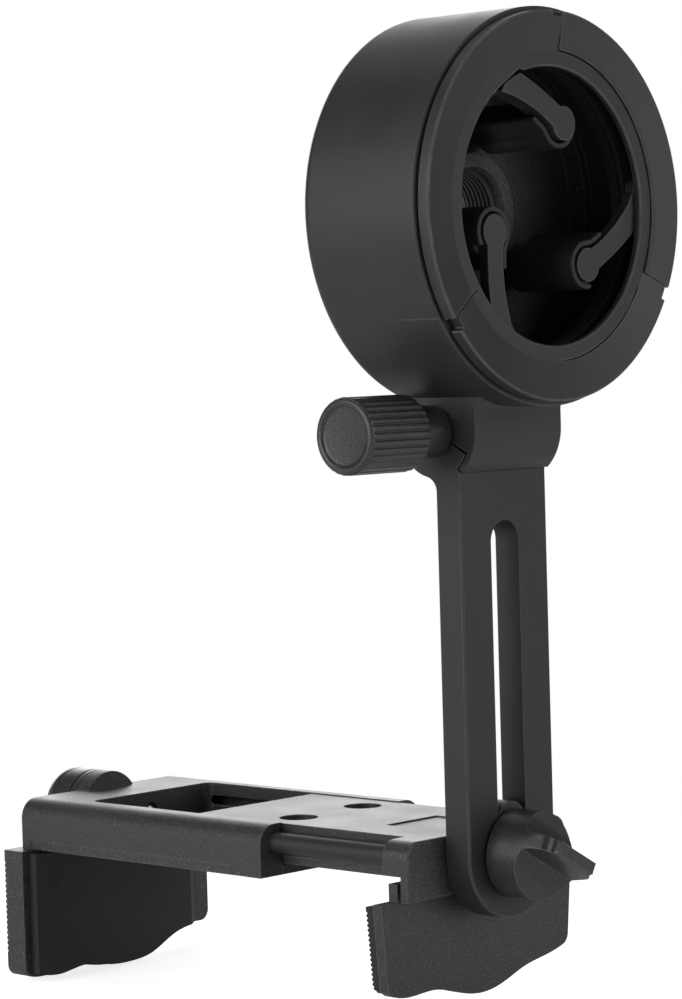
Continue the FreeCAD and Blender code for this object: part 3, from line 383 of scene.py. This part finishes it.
def zincSteel(look):
    # Plated steel: broad patches in its colour and roughness, and a faint grain in the bump.
    material, tree, shader = newMaterial("zincSteel")
    grain = addNode(tree, "Group", {"Scale": look["grainScale"]}, node_tree=grainGroup).outputs
    colour = mixColour(tree, grain["Patch"], look["dark"], look["light"])
    rough = addNode(tree, "MapRange", {"Value": grain["Patch"], "To Min": look["smoothest"],
                                       "To Max": look["roughest"]})
    bump = addNode(tree, "Bump", {"Strength": look["bump"], "Distance": look["bumpDepth"] * mm,
                                  "Height": grain["Height"]})
    setInputs(tree, shader, {"Metallic": 1.0, "Base Color": colour, "Roughness": rough.outputs["Result"],
                             "Normal": bump.outputs["Normal"]})
    return material


screwSteel = zincSteel({"dark": (0.50, 0.50, 0.48), "light": (0.64, 0.64, 0.62), "grainScale": 0.6,
                        "smoothest": 0.22, "roughest": 0.42, "bump": 0.1, "bumpDepth": 0.02})
print("materials ready")

finishes = {
    shellSatin: ["ring_housing"],
    innerShadedSatin: ["carrier_plate", "cam_plate"],
    drumSatin: ["front_ring", "face_insert", "grip_arm_top", "grip_arm_right", "grip_arm_lower"],
    armSatin: ["slotted_arm", "slot_slider", "tilt_nut", "guide_rod_left", "guide_rod_right"],
    sparkTexture: ["fixed_body", "fixed_cover", "fixed_jaw", "slide_frame", "slide_cover", "moving_jaw"],
    knobGloss: ["tilt_knob", "wing_knob", "lock_knob"],
    padRubber: ["fixed_jaw_pad", "moving_jaw_pad", "grip_pad_top", "grip_pad_right", "grip_pad_lower"],
    screwSteel: ["fixed_cover_screws", "slide_cover_screws", "wing_stud", "tilt_screw", "lock_screw"],
}
for material, names in finishes.items():
    for name in names:
        slots = nodes[name].data.materials
        if len(slots) == 0:
            slots.append(material)
        for index in range(len(slots)):
            slots[index] = material


def finish(piece, material, body, slotName, *replaced):
    piece.data.materials.append(material)
    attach(piece, body)
    if replaced:
        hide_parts(*replaced)


# Thread in the drum's boss, seen through the ring
boreThread = {"boreR": 7.9, "crestR": 7.25, "sunk": 0.06, "pitch": 1.0, "from": 20.3, "length": 9.3,
              "rootHalf": 0.44, "crestHalf": 0.10, "fadeTurns": 0.6, "perTurn": 64}
thread = helixThread("boreThread", place(0, boreThread["from"], 0), (0, 1, 0), boreThread)
finish(thread, drumSatin, "head", "black_plastic")


# Fluted tilt knob: the radius dips between the flutes along the grip and the face is dished
tiltKnob = {"from": -37.7, "to": -20.9, "depth": 20.5, "z": -41.7, "radius": 7.3, "frontEdge": 0.6,
            "backEdge": 0.7, "collarR": 5.0, "collarEnd": -12.95, "dishDepth": 0.6, "dishR": 5.9,
            "dishEdge": 0.5, "soft": 0.35, "step": 0.9, "flutes": 30, "perFlute": 14, "fluteDepth": 0.5,
            "fluteBand": 1.0, "ridgePower": 7, "fadeIn": (0.35, 0.8), "fadeOut": (0.3, 0.5)}


def flutedKnob(look):
    # Profile of (along, radius) turned about the hinge axis. The flutes are dips that go with a high power
    # of a sine in the angle, which leaves the ridges broad, and they fade in and out along the grip.
    # The profile's ends on the axis only shape its rounding, because the lathe adds the poles.
    length, collar = look["to"] - look["from"], look["collarEnd"] - look["from"]
    outer = look["radius"]
    corners = [(look["dishDepth"], 0.0), (look["dishDepth"], look["dishR"] - look["dishEdge"]),
               (0.0, look["dishR"]), (0.0, outer - look["frontEdge"]), (look["frontEdge"], outer),
               (length - look["backEdge"], outer), (length, outer - look["backEdge"]),
               (length, look["collarR"]), (collar, look["collarR"]), (collar, 0.0)]
    line = rounded(corners, look["soft"])[1:-1]
    dense = [line[0]]
    for start, end in zip(line[:-1], line[1:]):
        steps = max(1, int(np.linalg.norm(end - start) / look["step"]))
        dense.extend(start + (end - start) * k / steps for k in range(1, steps + 1))
    along, radius = np.array(dense).T
    columns = look["flutes"] * look["perFlute"]
    angle = np.arange(columns) * 2 * np.pi / columns
    dip = np.abs(np.sin(angle * look["flutes"] / 2)) ** look["ridgePower"]
    (inFrom, inOver), (outFrom, outOver) = look["fadeIn"], look["fadeOut"]
    grip = np.clip((along - inFrom) / inOver, 0, 1) * np.clip((length - outFrom - along) / outOver, 0, 1)
    grip = grip * (radius > outer - look["fluteBand"])
    surface = np.minimum(radius[:, None] - look["fluteDepth"] * grip[:, None] * dip[None, :], outer)
    return lathe("tiltKnobGrip", place(look["from"], look["depth"], look["z"]), (1, 0, 0), along, surface)


finish(flutedKnob(tiltKnob), knobGloss, "tilt", "knob_plastic", "tilt_knob")

# Wing knob: a round knob scooped away on both sides of a blade across it
wingKnob = {"z": -123.2, "radius": 8.5, "angle": -29.0, "bladeShift": 0.2, "tip": -1.7, "base": 13.95,
            "chamfer": 0.3,
            "across": [0.0, 1.15, 1.3, 1.42, 1.55, 1.85, 3.4, 5.35, 8.8],
            "acrossDepth": [0.0, 0.0, 0.25, 2.4, 5.0, 6.9, 8.0, 8.6, 9.1],
            "end": [0.0, 5.45, 5.6, 5.8, 6.3, 7.1, 7.8, 8.2, 8.5],
            "endDepth": [0.0, 0.0, 0.2, 1.1, 1.6, 1.95, 2.7, 3.9, 5.9],
            "rowsTo": (1.15, 2.1, 6.0), "rows": (5, 14, 14, 12), "lastRow": 89.2, "columns": 161,
            "wall": (0.35, 0.7, 0.97, 1.0)}


def scoopedKnob(look):
    # Depth below the blade's tip at (along, over) is the larger of two profiles, one of the distance over
    # the blade and one of the distance along it; the wall drops from the disc's edge to the base. The rows
    # stand closest on the blade's flanks, and the outer ones follow the disc's edge.
    radius = look["radius"]
    flank, foot, slope = look["rowsTo"]
    onBlade, onFlank, onSlope, onEdge = look["rows"]
    edgeAngle = np.linspace(math.asin(slope / radius), math.radians(look["lastRow"]), onEdge)
    away = np.concatenate([np.linspace(0, flank, onBlade), np.linspace(flank, foot, onFlank)[1:],
                           np.linspace(foot, slope, onSlope)[1:], radius * np.sin(edgeAngle)[1:]])
    over = np.concatenate([-away[:0:-1], away])[:, None]
    along = np.linspace(-1, 1, look["columns"])[None, :] * np.sqrt(radius ** 2 - over ** 2)
    side = np.interp(np.abs(over - look["bladeShift"]), look["across"], look["acrossDepth"])
    ends = np.interp(np.abs(along), look["end"], look["endDepth"])
    depth = look["tip"] + np.maximum(side, ends)
    over = np.broadcast_to(over, along.shape)
    rows, columns = along.shape
    order = np.arange(rows * columns).reshape(rows, columns)
    edge = np.concatenate([order[0, :-1], order[:-1, -1], order[-1, :0:-1], order[:0:-1, 0]])
    top = np.stack([along.ravel(), depth.ravel(), over.ravel()], axis=1)
    layers, faces, upper = [top], gridFaces(rows, columns, wrapColumns=False), edge
    for level, share in enumerate(look["wall"]):
        layer = top[edge]
        layer[:, 1] += (look["base"] - layer[:, 1]) * share
        layers.append(layer)
        lower = rows * columns + level * len(edge) + np.arange(len(edge))
        faces.extend(np.stack([upper, lower, np.roll(lower, -1), np.roll(upper, -1)], axis=1).tolist())
        upper = lower
    layers[-1][:, [0, 2]] *= 1 - look["chamfer"] / radius
    faces.append(tuple(upper[::-1].tolist()))
    verts = turnedRound(np.vstack(layers), look["angle"], look["z"])
    return meshFrom("wingKnobGrip", verts, faces, sharp=28)


finish(scoopedKnob(wingKnob), knobGloss, "wing", "knob_plastic", "wing_knob")

wingStud = {"z": -123.2, "from": 9.5, "to": 24.2, "radius": 3.0, "chamfer": 0.5, "columns": 48}


def studShank(look):
    # Round shank with a chamfer at both ends.
    length, small = look["to"] - look["from"], look["radius"] - look["chamfer"]
    along = np.array([0.0, look["chamfer"], length - look["chamfer"], length])
    radius = np.array([small, look["radius"], look["radius"], small])
    return lathe("wingStudShank", place(0, look["from"], look["z"]), (0, 1, 0), along,
                 np.repeat(radius[:, None], look["columns"], axis=1))


finish(studShank(wingStud), screwSteel, "wing", "screw_steel", "wing_stud")
print("knobs ready")


# Rubber pads on the gripping arms: a lip bent along the arm's edge and round its head
gripPads = {"head": (3.6, 15.59), "headR": 3.2, "edge": [(-16.6, 21.2), (-6.3, 18.7), (1.1, 14.4)],
            "gap": 0.4, "thick": 1.1, "start": (1.2, 1.9, 1.9), "end": 18.4,
            "reach": -3.9, "underTo": 0.72, "underPoints": 9, "clear": 0.5,
            "wrapFrom": 208, "wrapTo": (35.0, 45.0, 98.0), "wrapPoints": 44, "soft": 0.9, "tipShare": 0.04,
            "frontEase": ((0.0, 0.7), (0.12, 0.9), (0.4, 1.0)), "backEase": ((-0.3, 1.0), (0.0, 0.8)),
            "sleeveR": 4.55, "sleeveFrom": 3.8, "sleeveMouth": 0.2, "sleeveEdge": 0.3, "sleeveColumns": 56}


def circleThrough(points):
    # Centre and radius of the circle through three points, from the two lines that halve its chords.
    (ax, ay), (bx, by), (cx, cy) = points
    lines = np.array([[bx - ax, by - ay], [cx - bx, cy - by]]) * 2
    level = np.array([bx * bx + by * by - ax * ax - ay * ay, cx * cx + cy * cy - bx * bx - by * by])
    centre = np.linalg.solve(lines, level)
    return centre, math.hypot(ax - centre[0], ay - centre[1])


def lipLine(look, wrapTo):
    # The arm's lower edge moved out by the gap and half the lip, then a circle round the head.
    head = np.array(look["head"])
    out = look["gap"] + look["thick"] / 2
    centre, radius = circleThrough(look["edge"])
    radius -= out
    wrap = look["headR"] + out
    x = np.linspace(look["reach"], head[0] - wrap * look["underTo"], look["underPoints"])
    under = np.stack([x, centre[1] + np.sqrt(radius ** 2 - (x - centre[0]) ** 2)], axis=1)
    under = under[np.linalg.norm(under - head, axis=1) > wrap + look["clear"]]
    angle = np.radians(np.linspace(look["wrapFrom"], 360 + wrapTo, look["wrapPoints"]))
    wrapped = head + wrap * np.stack([np.cos(angle), np.sin(angle)], axis=1)
    return rounded(np.vstack([under, wrapped]), look["soft"], steps=3)


def padLip(look, index):
    # The lip's section is a band with round ends round its line; it is carried back along the bore's axis
    # with its edges eased.
    line = lipLine(look, look["wrapTo"][index])
    tangent = np.gradient(line, axis=0)
    tangent /= np.linalg.norm(tangent, axis=1)[:, None]
    across = np.stack([-tangent[:, 1], tangent[:, 0]], axis=1)
    fromStart = np.concatenate([[0], np.cumsum(np.linalg.norm(np.diff(line, axis=0), axis=1))])
    toEnd = np.minimum(fromStart, fromStart[-1] - fromStart)
    half = look["thick"] / 2
    width = half * np.sqrt(np.clip(1 - np.clip(1 - toEnd / half, 0, 1) ** 2, look["tipShare"], 1))
    stations = [(look["start"][index] + step, share) for step, share in look["frontEase"]]
    stations += [(look["end"] + step, share) for step, share in look["backEase"]]
    count = len(line)
    loops = []
    for depth, share in stations:
        offset = across * (width * share)[:, None]
        outline = np.vstack([line + offset, (line - offset)[::-1]])
        loops.append(np.column_stack([outline[:, 0], np.full(2 * count, depth), outline[:, 1]]))
    faces = gridFaces(len(stations), 2 * count)
    back, end = (len(stations) - 1) * 2 * count, 2 * count - 1
    for k in range(count - 1):
        faces.append((k + 1, k, end - k, end - 1 - k))
        faces.append((back + k, back + k + 1, back + end - 1 - k, back + end - k))
    return np.vstack(loops), faces


def padSleeve(look):
    # Round sleeve with eased ends, which fills the room behind the arm.
    edge, columns = look["sleeveEdge"], look["sleeveColumns"]
    stations = [(look["sleeveFrom"], -edge), (look["sleeveFrom"] + look["sleeveMouth"], 0.0),
                (look["end"] - edge, 0.0), (look["end"], -edge)]
    angle = np.arange(columns) * 2 * np.pi / columns
    points = np.vstack([np.column_stack([look["head"][0] + (look["sleeveR"] + grow) * np.cos(angle),
                                         np.full(columns, depth),
                                         look["head"][1] + (look["sleeveR"] + grow) * np.sin(angle)])
                        for depth, grow in stations])
    faces = [face[::-1] for face in gridFaces(len(stations), columns)]
    faces.append(list(range(columns)))
    faces.append(list(range(len(points) - columns, len(points)))[::-1])
    return points, faces


def gripPad(name, look, index):
    # Lip and sleeve in one piece, turned round the bore to its arm.
    lip, faces = padLip(look, index)
    sleeve, sleeveFaces = padSleeve(look)
    faces += [[corner + len(lip) for corner in face] for face in sleeveFaces]
    return meshFrom(name, turnedRound(np.vstack([lip, sleeve]), -120 * index), faces, sharp=40)


for index, where in enumerate(("top", "right", "lower")):
    pad = gripPad("gripPadSleeve_" + where, gripPads, index)
    finish(pad, padRubber, "grip_" + where, "pad_rubber", "grip_pad_" + where)
print("pads ready")


# Studio

def softbox(name, where, target, size, power):
    data = bpy.data.lights.new(name, "AREA")
    data.shape = "RECTANGLE"
    data.size, data.size_y = size
    data.energy = power
    lamp = bpy.data.objects.new(name, data)
    bpy.context.collection.objects.link(lamp)
    lamp.location = where
    lamp.rotation_euler = (Vector(target) - Vector(where)).to_track_quat("-Z", "Y").to_euler()


softbox("leftLamp", (-1.3, 0.25, 0.10), (0, 0, -0.06), (1.3, 1.5), 20.5)
softbox("frontLamp", (0.45, -1.4, 0.15), (0, 0, -0.06), (1.2, 1.4), 11.2)
softbox("topLamp", (0.1, 0.3, 1.3), (0, 0.03, -0.1), (0.9, 0.9), 5.0)


def cameraSees(tree):
    # 1 for a ray that shows a surface to the camera, glass between them or not, and 0 for all other rays.
    path = addNode(tree, "LightPath").outputs
    return mathNode(tree, "MAXIMUM", path["Is Camera Ray"], path["Is Transmission Ray"])


def studioWorld(look):
    # White towards the camera. For the object's light: dim all round, with a bright band low
    # behind it, whose strength falls off with the angle from that direction.
    world = bpy.data.worlds.new("studioWorld")
    bpy.context.scene.world = world
    world.use_nodes = True
    tree = world.node_tree
    direction = addNode(tree, "TexCoord").outputs["Generated"]
    facing = addNode(tree, "VectorMath", {0: direction, 1: look["behind"]}, operation="DOT_PRODUCT")
    band = addNode(tree, "MapRange", {
        "Value": facing.outputs["Value"], "From Min": look["bandFrom"], "From Max": look["bandFull"],
        "To Min": look["dim"], "To Max": look["bright"]}, interpolation_type="SMOOTHSTEP")
    seen = cameraSees(tree)
    lit = mathNode(tree, "MULTIPLY", band.outputs["Result"], mathNode(tree, "SUBTRACT", 1.0, seen))
    setInputs(tree, tree.nodes["Background"], {"Strength": mathNode(tree, "ADD", lit, seen),
                                               "Color": (1, 1, 1, 1)})


studioWorld({"behind": (0.715, 0.695, 0.07), "bandFrom": 0.78, "bandFull": 0.985,
             "dim": 0.08, "bright": 3.2})


paleFloor = {"half": 6.0, "under": 0.0004, "tone": 0.86, "roughness": 0.9, "lift": 0.75, "bounce": 0.6,
             "fadeFrom": 0.12, "fadeTo": 0.34}


def floorMaterial(look):
    # White floor: shaded near the object, where its shadow falls, and plain white further out,
    # by the distance from the object's middle.
    material, tree, shader = newMaterial("paleFloor")
    tone = look["tone"]
    setInputs(tree, shader, {"Base Color": (tone, tone, tone, 1), "Roughness": look["roughness"],
                             "Specular IOR Level": 0.0})
    seen = cameraSees(tree)
    glow = addNode(tree, "Emission", {"Strength": mathNode(tree, "MULTIPLY", seen, look["lift"])})
    near = addNode(tree, "AddShader", {0: shader.outputs[0], 1: glow.outputs[0]})
    level = mathNode(tree, "MULTIPLY", seen, 1.0 - look["bounce"])
    plain = addNode(tree, "Emission", {"Strength": mathNode(tree, "ADD", level, look["bounce"])})
    where = addNode(tree, "TexCoord").outputs["Object"]
    away = addNode(tree, "VectorMath", {0: where}, operation="LENGTH").outputs["Value"]
    fade = addNode(tree, "MapRange", {"Value": away, "From Min": look["fadeFrom"],
                                      "From Max": look["fadeTo"]}, interpolation_type="SMOOTHSTEP")
    mixed = addNode(tree, "MixShader", {0: fade.outputs["Result"], 1: near.outputs[0], 2: plain.outputs[0]})
    setInputs(tree, tree.nodes["Material Output"], {"Surface": mixed.outputs[0]})
    return material


floorAt = cadBox[0][2] - paleFloor["under"]
corners = np.array([(-1, -1), (1, -1), (1, 1), (-1, 1)]) * paleFloor["half"]
floorMesh = bpy.data.meshes.new("floor")
floorMesh.from_pydata([(x, y, floorAt) for x, y in corners.tolist()], [], [(0, 1, 2, 3)])
floor = bpy.data.objects.new("floor", floorMesh)
bpy.context.collection.objects.link(floor)
floor.data.materials.append(floorMaterial(paleFloor))

# Camera as solved from the photograph: place, yaw, pitch, roll and focal length in pixels
shot = {"at": (-0.47635, -0.42352, -0.02470), "yaw": 0.8131, "pitch": 0.0473, "roll": -0.0286,
        "focal": 3278.96, "height": 999, "sensor": 36.0}
ahead = Vector((math.sin(shot["yaw"]) * math.cos(shot["pitch"]),
                math.cos(shot["yaw"]) * math.cos(shot["pitch"]), -math.sin(shot["pitch"])))
level = Vector((math.cos(shot["yaw"]), -math.sin(shot["yaw"]), 0))
upright = level.cross(ahead)
right = level * math.cos(shot["roll"]) + upright * math.sin(shot["roll"])
up = upright * math.cos(shot["roll"]) - level * math.sin(shot["roll"])
cameraData = bpy.data.cameras.new("photoCamera")
cameraData.sensor_fit = "AUTO"
cameraData.sensor_width = shot["sensor"]
cameraData.lens = shot["focal"] * shot["sensor"] / shot["height"]
camera = bpy.data.objects.new("photoCamera", cameraData)
bpy.context.collection.objects.link(camera)
turn = Matrix((right, up, -ahead)).transposed()
camera.matrix_world = Matrix.Translation(shot["at"]) @ turn.to_4x4()
bpy.context.scene.camera = camera
bpy.context.scene.view_settings.view_transform = "Standard"
print("studio ready")
